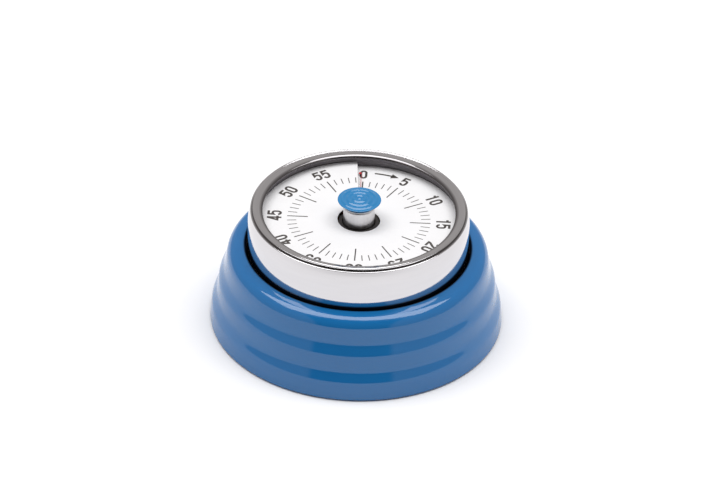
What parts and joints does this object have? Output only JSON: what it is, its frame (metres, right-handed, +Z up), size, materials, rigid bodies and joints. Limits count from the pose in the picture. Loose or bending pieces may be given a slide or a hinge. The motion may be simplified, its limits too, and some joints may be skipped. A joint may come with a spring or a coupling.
{
  "type": "mechanical kitchen timer",
  "caption": "Round ribbed wind-up kitchen timer: blue lacquered shell, chromed can, white helical dial with a slit and a domed knob.",
  "frame": {"origin": "middle of the footprint on the table", "axes": "+Z up out of the dial, +Y towards the dial's zero mark, +X towards its fifteen minute mark"},
  "size_m": [0.07, 0.07, 0.0339],
  "materials": {
    "blue_lacquer": "glossy stove lacquer",
    "chrome": "bright plated",
    "satin_steel": "satin turned",
    "dial_print": "matte printed",
    "grey_plastic": "satin",
    "red_film": "satin film",
    "black_plastic": "moulded",
    "rubber": "matte",
    "magnet": "sintered ferrite",
    "screw_steel": "zinc plated",
    "steel": "turned and stamped",
    "spring_steel": "blued strip",
    "bell_steel": "pressed and polished",
    "brass": "stamped"
  },
  "bodies": {
    "case": {"base_shell": "blue_lacquer", "bottom_cover": "black_plastic", "cover_screw_1": "screw_steel", "cover_screw_2": "screw_steel", "cover_screw_3": "screw_steel", "magnet_disc": "magnet", "foot_ring": "rubber", "inner_frame": "black_plastic", "movement_can": "chrome", "bezel_ring": "chrome", "dial_seat": "grey_plastic", "dial_plate": "dial_print", "lower_plate": "brass", "upper_plate": "brass", "pillar_1": "steel", "pillar_2": "steel", "pillar_3": "steel", "plate_screw_1": "screw_steel", "plate_screw_2": "screw_steel", "plate_screw_3": "screw_steel", "mainspring": "spring_steel", "spring_post": "steel", "bell": "bell_steel", "bell_post": "steel"},
    "knob": {"knob_cap": "blue_lacquer", "knob_stem": "satin_steel", "main_arbor": "steel", "ratchet_wheel": "steel", "strike_cam": "steel"},
    "time_film": {"time_disc": "red_film", "film_sleeve": "black_plastic", "pointer": "red_film"},
    "main_drive": {"main_wheel": "brass", "click_pawl": "steel"},
    "second_stage": {"second_pinion": "steel", "second_wheel": "brass"},
    "third_stage": {"third_pinion": "steel", "third_wheel": "brass"},
    "escape_stage": {"escape_pinion": "steel", "escape_wheel": "brass"},
    "regulator": {"verge_lever": "steel", "verge_arbor": "steel", "balance_wheel": "brass"},
    "hammer": {"hammer_arbor": "steel", "hammer_lever": "steel", "hammer_head": "brass"}
  },
  "joints": [
    {"name": "knob_turn", "type": "hinge", "parent": "case", "child": "knob", "pos_m": [0, 0, 0.0329], "axis": [0, 0, -1], "range_deg": [0, 354]},
    {"name": "film_lift", "type": "slide", "parent": "knob", "child": "time_film", "axis": [0, 0, 1], "range_m": [0, 0.0012]},
    {"name": "escape_spin", "type": "hinge", "parent": "case", "child": "escape_stage", "pos_m": [0.00224, -0.01382, 0.0166], "axis": [0, 0, 1], "continuous": true},
    {"name": "third_spin", "type": "hinge", "parent": "case", "child": "third_stage", "pos_m": [-0.00735, -0.01365, 0.0166], "axis": [0, 0, 1], "continuous": true},
    {"name": "second_spin", "type": "hinge", "parent": "case", "child": "second_stage", "pos_m": [-0.01316, -0.00479, 0.0166], "axis": [0, 0, 1], "continuous": true},
    {"name": "main_spin", "type": "hinge", "parent": "case", "child": "main_drive", "pos_m": [0, 0, 0.0188], "axis": [0, 0, -1], "continuous": true},
    {"name": "regulator_beat", "type": "hinge", "parent": "case", "child": "regulator", "pos_m": [0.01033, -0.01088, 0.0166], "axis": [0, 0, 1], "range_deg": [-3, 3]},
    {"name": "hammer_swing", "type": "hinge", "parent": "case", "child": "hammer", "pos_m": [0.01379, 0.01379, 0.0166], "axis": [0, 0, 1], "range_deg": [-4, 12]}
  ],
  "couplings": [
    {"joint": "film_lift", "follows": "knob_turn", "m_per_rad": 0.00019099},
    {"joint": "main_spin", "follows": "knob_turn", "ratio": 1},
    {"joint": "second_spin", "follows": "knob_turn", "ratio": 6},
    {"joint": "third_spin", "follows": "knob_turn", "ratio": -33.75},
    {"joint": "escape_spin", "follows": "knob_turn", "ratio": 168.75}
  ]
}
